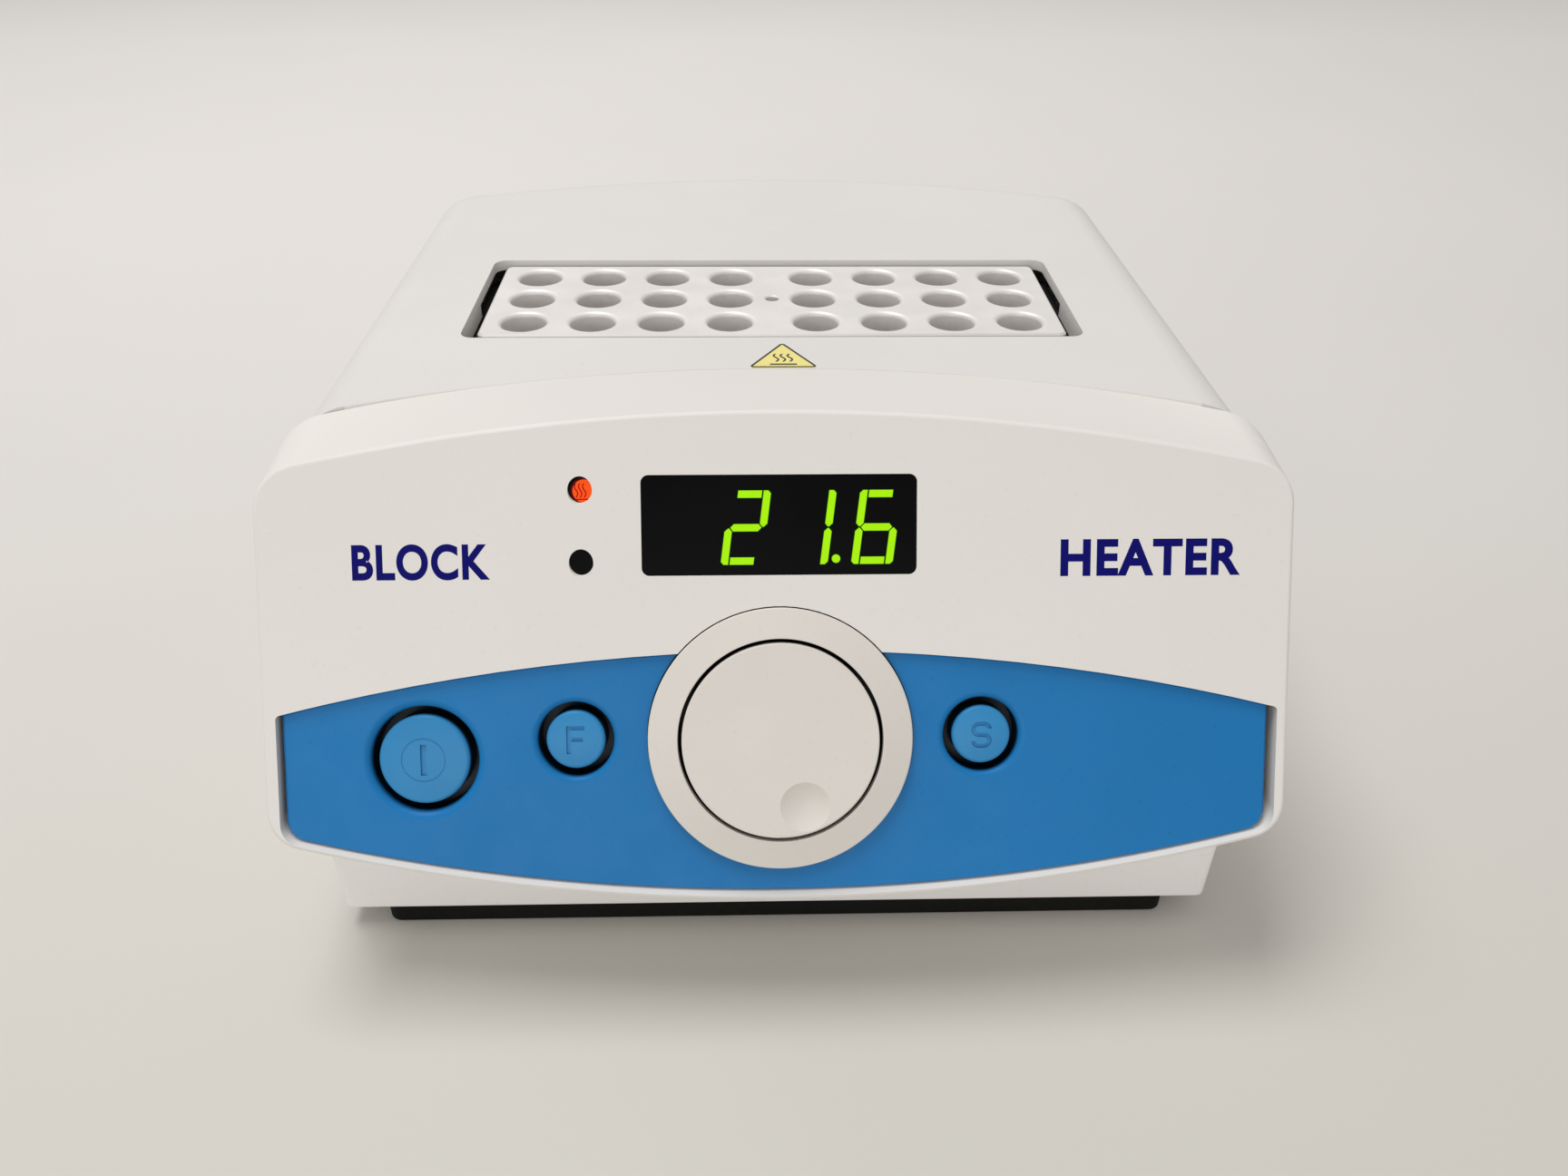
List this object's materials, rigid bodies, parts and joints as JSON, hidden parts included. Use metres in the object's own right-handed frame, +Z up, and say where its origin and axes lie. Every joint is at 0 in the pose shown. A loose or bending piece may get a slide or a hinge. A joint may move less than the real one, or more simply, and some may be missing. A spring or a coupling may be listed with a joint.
{
  "type": "dry block heater",
  "caption": "Bench dry block heater: sloping control face with dial, buttons and lit display, and a drilled aluminium tube block that lifts out of a heated well.",
  "frame": {"origin": "on the bench, under the middle of the object's box", "axes": "+Z up, -Y towards the user and the sloping control face, +X to the user's right"},
  "size_m": [0.1998, 0.2226, 0.1127],
  "materials": {
    "case_plastic": "fine moulded texture, cool light grey",
    "face_plastic": "fine moulded texture, warm white",
    "panel_blue": "satin moulded blue",
    "button_blue": "satin moulded blue",
    "dial_plastic": "satin moulded warm white",
    "window_black": "gloss black filter",
    "lens_orange": "translucent orange-red",
    "lens_dark": "unlit dark lens",
    "led_module": "potted display module",
    "led_chip": "surface-mounted lamp",
    "circuit_board": "green solder mask",
    "black_plastic": "moulded black",
    "relay_plastic": "moulded case",
    "terminal_plastic": "moulded green",
    "capacitor_sleeve": "shrunk sleeve",
    "zinc_steel": "zinc plated",
    "probe_steel": "stainless",
    "block_aluminium": "machined and satin anodised",
    "well_aluminium": "cast and machined",
    "transformer_core": "laminated core and tape",
    "cutout_metal": "pressed can",
    "heater_silicone": "silicone mat",
    "insulation_foam": "needled insulating felt",
    "pin_brass": "nickel plated",
    "fuse_glass": "glass tube, nickel caps",
    "lead_sleeve": "silicone insulated",
    "sensor_sleeve": "silicone insulated",
    "ribbon_grey": "flat cable",
    "foot_rubber": "moulded rubber",
    "plate_black": "black powder coat",
    "label_yellow": "printed film",
    "label_silver": "blank printed film"
  },
  "bodies": {
    "heater_case": {"top_cover": "case_plastic", "base_tray": "case_plastic", "front_fascia": "face_plastic", "control_panel": "panel_blue", "dial_bezel": "dial_plastic", "display_window": "window_black", "heat_indicator_lens": "lens_orange", "timer_indicator_lens": "lens_dark", "led_display": "led_module", "indicator_leds": "led_chip", "display_board": "circuit_board", "main_board": "circuit_board", "display_socket": "black_plastic", "power_switch": "black_plastic", "f_switch": "black_plastic", "s_switch": "black_plastic", "controller_chip": "black_plastic", "triac": "black_plastic", "mains_inlet": "black_plastic", "well_gasket": "black_plastic", "mains_relay": "relay_plastic", "terminal_block": "terminal_plastic", "capacitors": "capacitor_sleeve", "rotary_encoder": "zinc_steel", "encoder_nut": "zinc_steel", "well_bracket": "zinc_steel", "clamp_plate": "zinc_steel", "bracket_screws": "zinc_steel", "display_board_screws": "zinc_steel", "board_screws": "zinc_steel", "inlet_screws": "zinc_steel", "inlet_nuts": "zinc_steel", "foot_screws": "zinc_steel", "case_screws": "zinc_steel", "fascia_screws": "zinc_steel", "temperature_sensor": "probe_steel", "heater_well": "well_aluminium", "triac_heatsink": "well_aluminium", "transformer": "transformer_core", "thermal_cutout": "cutout_metal", "heater_mat": "heater_silicone", "well_insulation": "insulation_foam", "inlet_pins": "pin_brass", "heater_leads": "lead_sleeve", "mains_leads": "lead_sleeve", "sensor_lead": "sensor_sleeve", "ribbon_cable": "ribbon_grey", "rubber_feet": "foot_rubber", "bottom_plate": "plate_black", "hot_surface_label": "label_yellow", "rating_label": "label_silver"},
    "control_knob": {"control_knob": "dial_plastic", "encoder_shaft": "zinc_steel"},
    "power_button": {"power_button": "button_blue"},
    "f_button": {"f_button": "button_blue"},
    "s_button": {"s_button": "button_blue"},
    "tube_block": {"tube_block": "block_aluminium"},
    "fuse_drawer": {"fuse_drawer": "black_plastic", "fuses": "fuse_glass"}
  },
  "joints": [
    {"name": "knob_spin", "type": "hinge", "parent": "heater_case", "child": "control_knob", "pos_m": [0, -0.09584, 0.0575], "axis": [0, -0.8729, 0.4879], "continuous": true},
    {"name": "power_button_press", "type": "slide", "parent": "heater_case", "child": "power_button", "axis": [0, 0.8729, -0.4879], "range_m": [0, 0.0008], "stiffness_N_per_m": 400, "springref_m": -0.002},
    {"name": "f_button_press", "type": "slide", "parent": "heater_case", "child": "f_button", "axis": [0, 0.8729, -0.4879], "range_m": [0, 0.0008], "stiffness_N_per_m": 400, "springref_m": -0.002},
    {"name": "s_button_press", "type": "slide", "parent": "heater_case", "child": "s_button", "axis": [0, 0.8729, -0.4879], "range_m": [0, 0.0008], "stiffness_N_per_m": 400, "springref_m": -0.002},
    {"name": "block_lift", "type": "slide", "parent": "heater_case", "child": "tube_block", "axis": [0, 0, 1], "range_m": [0, 0.075]},
    {"name": "fuse_drawer_slide", "type": "slide", "parent": "heater_case", "child": "fuse_drawer", "axis": [0, 1, 0], "range_m": [0, 0.022]}
  ]
}
